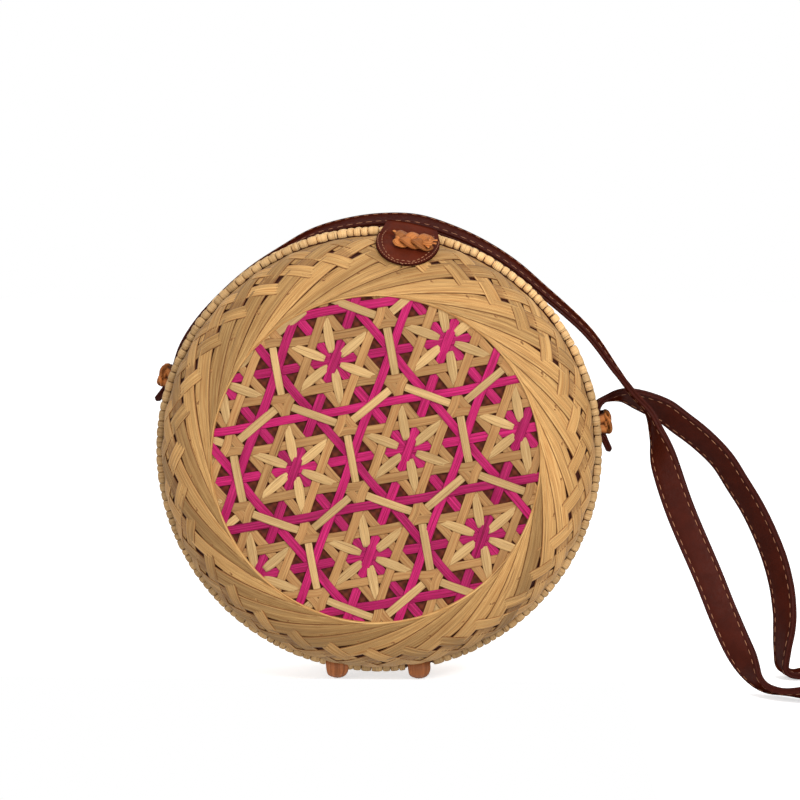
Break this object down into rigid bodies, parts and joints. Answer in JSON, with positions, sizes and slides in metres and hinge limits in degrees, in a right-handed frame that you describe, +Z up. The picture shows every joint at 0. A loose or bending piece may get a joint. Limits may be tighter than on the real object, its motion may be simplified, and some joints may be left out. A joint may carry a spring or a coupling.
{
  "type": "circle bag",
  "caption": "Round woven cane shoulder bag: two dishes with a hexagonal star weave, hinged at the bottom, with a leather tab, a leather strap and braided cane knots.",
  "frame": {"origin": "On the floor below the middle of the round bag, which stands upright on its two hinge loops.", "axes": "+X to the right seen from the front, +Y to the back (the front dish faces -Y), +Z up."},
  "size_m": [0.4604, 0.1694, 0.2106],
  "materials": {
    "woven_cane": "satin",
    "ground_weave": "matte",
    "dyed_strip": "satin",
    "natural_strip": "satin",
    "rim_cane": "satin",
    "knot_cane": "satin",
    "cotton": "matte",
    "leather_face": "satin",
    "leather_back": "satin",
    "steel": "satin"
  },
  "bodies": {
    "back_half": {"back_wall": "woven_cane", "back_ground_panel": "ground_weave", "back_star_dyed": "dyed_strip", "back_star_natural": "natural_strip", "back_star_struts": "natural_strip", "back_rim_hoop": "rim_cane", "back_rim_binding": "rim_cane", "back_lining": "cotton", "hinge_loop_left": "rim_cane", "hinge_loop_right": "rim_cane", "clasp_keeper": "steel", "strap_top_leather": "leather_face", "strap_backing_leather": "leather_back", "strap_knot_left": "knot_cane", "strap_knot_right": "knot_cane"},
    "front_half": {"front_wall": "woven_cane", "front_ground_panel": "ground_weave", "front_star_dyed": "dyed_strip", "front_star_natural": "natural_strip", "front_star_struts": "natural_strip", "front_rim_hoop": "rim_cane", "front_rim_binding": "rim_cane", "front_lining": "cotton", "tab_front_leather": "leather_face", "tab_front_backing": "leather_back", "tab_knot": "knot_cane"},
    "tab_flap": {"tab_flap_leather": "leather_face", "tab_flap_backing": "leather_back", "tab_magnet": "steel"}
  },
  "joints": [
    {"name": "front_hinge", "type": "hinge", "parent": "back_half", "child": "front_half", "pos_m": [0, 0, 0.00525], "axis": [1, 0, 0], "range_deg": [0, 90]},
    {"name": "tab_fold", "type": "hinge", "parent": "front_half", "child": "tab_flap", "pos_m": [0.01418, -0.0043, 0.20496], "axis": [0.9903, 0, -0.1392], "range_deg": [0, 110]}
  ]
}
